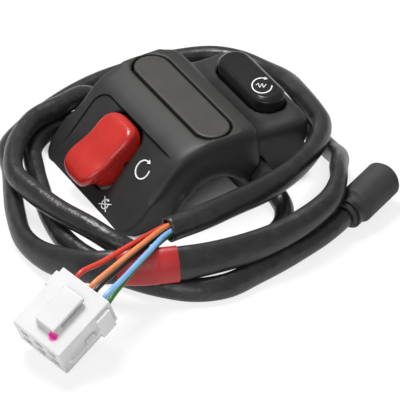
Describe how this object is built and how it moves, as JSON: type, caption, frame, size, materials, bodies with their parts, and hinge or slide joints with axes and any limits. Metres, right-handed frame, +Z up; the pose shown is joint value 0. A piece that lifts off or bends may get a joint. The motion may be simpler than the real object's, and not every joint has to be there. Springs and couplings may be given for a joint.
{
  "type": "handlebar switch cluster",
  "caption": "Black handlebar switch housing with a red kill rocker, a black start button, a blank insert and a coiled sleeved loom ending in a white plug and a rubber boot.",
  "frame": {"origin": "on the handlebar axis at the middle of the saddle, in the plane of the parting face the housing lies on", "axes": "+X along the bar towards the inboard end, +Y towards the start button, +Z up out of the parting face"},
  "size_m": [0.1147, 0.1265, 0.0227],
  "materials": {
    "housing": "fine grained matt black moulding",
    "insert": "satin dark grey blank",
    "rocker_red": "glossy red",
    "steel": "plain steel",
    "carrier": "black moulded base",
    "contact": "bare brass",
    "button_black": "semi-gloss black",
    "bush": "turned brass",
    "rubber_black": "matt black rubber",
    "sleeve": "soft satin black sleeving",
    "tape_red": "red adhesive tape",
    "wire_red": "red insulation",
    "wire_orange": "orange insulation",
    "wire_brown": "dark brown insulation",
    "wire_green": "green insulation",
    "wire_blue": "light blue insulation",
    "nylon_white": "natural white nylon"
  },
  "bodies": {
    "housing": {"front_shell": "housing", "blank_insert": "insert", "kill_pin": "steel", "kill_carrier": "carrier", "kill_contacts": "contact", "kill_screws": "steel", "start_spring": "steel", "start_carrier": "carrier", "start_contacts": "contact", "start_screws": "steel", "clamp_bush_near": "bush", "clamp_bush_far": "bush", "loom_grommet": "rubber_black", "loom_trunk": "sleeve", "loom_lead": "sleeve", "loom_branch": "sleeve", "branch_boot": "rubber_black", "tape_band": "tape_red", "sleeve_end": "sleeve", "wire_red": "wire_red", "wire_orange": "wire_orange", "wire_brown": "wire_brown", "wire_green": "wire_green", "wire_blue": "wire_blue", "plug_body": "nylon_white", "plug_lock": "nylon_white", "plug_terminals": "contact", "end_boot": "rubber_black", "boot_clip": "steel"},
    "rocker": {"kill_rocker": "rocker_red", "kill_bridge": "contact"},
    "button": {"start_button": "button_black", "start_bridge": "contact"}
  },
  "joints": [
    {"name": "kill_rocker_tilt", "type": "hinge", "parent": "housing", "child": "rocker", "pos_m": [0.0005, -0.01685, 0.01017], "axis": [1, 0, 0], "range_deg": [0, 12]},
    {"name": "start_button_press", "type": "slide", "parent": "housing", "child": "button", "axis": [0, 0, -1], "range_m": [0, 0.0024], "stiffness_N_per_m": 600, "springref_m": -0.002, "deforming": ["start_spring"]}
  ]
}
